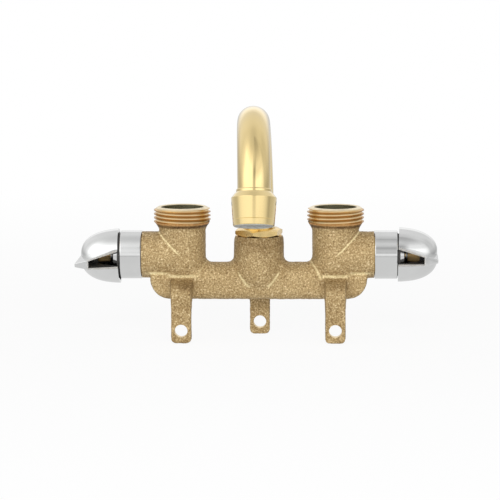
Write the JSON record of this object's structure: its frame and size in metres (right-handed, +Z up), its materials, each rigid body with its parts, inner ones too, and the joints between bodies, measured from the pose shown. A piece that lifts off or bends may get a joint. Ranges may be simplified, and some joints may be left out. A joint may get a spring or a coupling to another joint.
{
  "type": "utility sink faucet",
  "caption": "Rough brass straddle faucet for a laundry tub: threaded supply unions on top, chrome lever handles at the ends, swing gooseneck spout and legs that clamp the tub rim",
  "frame": {"origin": "middle of the flat seat under the body, where it rests on the tub rim, below the spout axis", "axes": "+X along the valves to the right of a user facing it, +Y away from the user, +Z up"},
  "size_m": [0.207, 0.1189, 0.1387],
  "materials": {
    "rough_brass": "sand cast",
    "machined_brass": "machined",
    "polished_brass": "polished",
    "chrome_plate": "polished",
    "spring_steel": "bright",
    "black_rubber": "matte",
    "white_ceramic": "lapped",
    "white_nylon": "matte",
    "grey_plastic": "matte",
    "red_plastic": "gloss",
    "blue_plastic": "gloss"
  },
  "bodies": {
    "body": {"body_casting": "rough_brass", "spout_slip_ring": "white_nylon", "spout_nut": "machined_brass", "left_seat_seal": "black_rubber", "left_fixed_disc": "white_ceramic", "left_housing": "machined_brass", "left_gasket": "black_rubber", "left_sleeve": "chrome_plate", "right_seat_seal": "black_rubber", "right_fixed_disc": "white_ceramic", "right_housing": "machined_brass", "right_gasket": "black_rubber", "right_sleeve": "chrome_plate"},
    "spout": {"spout_tube": "polished_brass", "spout_foot": "machined_brass", "spout_o_rings": "black_rubber", "spout_tip": "polished_brass", "outlet_insert": "grey_plastic"},
    "left_lever": {"left_moving_disc": "white_ceramic", "left_stem": "machined_brass", "left_stem_o_ring": "black_rubber", "left_stem_clip": "spring_steel", "left_handle": "chrome_plate", "left_handle_screw": "spring_steel", "left_handle_cap": "red_plastic"},
    "right_lever": {"right_moving_disc": "white_ceramic", "right_stem": "machined_brass", "right_stem_o_ring": "black_rubber", "right_stem_clip": "spring_steel", "right_handle": "chrome_plate", "right_handle_screw": "spring_steel", "right_handle_cap": "blue_plastic"}
  },
  "joints": [
    {"name": "left_lever_turn", "type": "hinge", "parent": "body", "child": "left_lever", "pos_m": [-0.081, 0, 0.0254], "axis": [-1, 0, 0], "range_deg": [0, 90]},
    {"name": "right_lever_turn", "type": "hinge", "parent": "body", "child": "right_lever", "pos_m": [0.081, 0, 0.0254], "axis": [-1, 0, 0], "range_deg": [0, 90]},
    {"name": "spout_swing", "type": "hinge", "parent": "body", "child": "spout", "pos_m": [0, 0, 0.0367], "axis": [0, 0, 1], "range_deg": [-75, 75]}
  ]
}
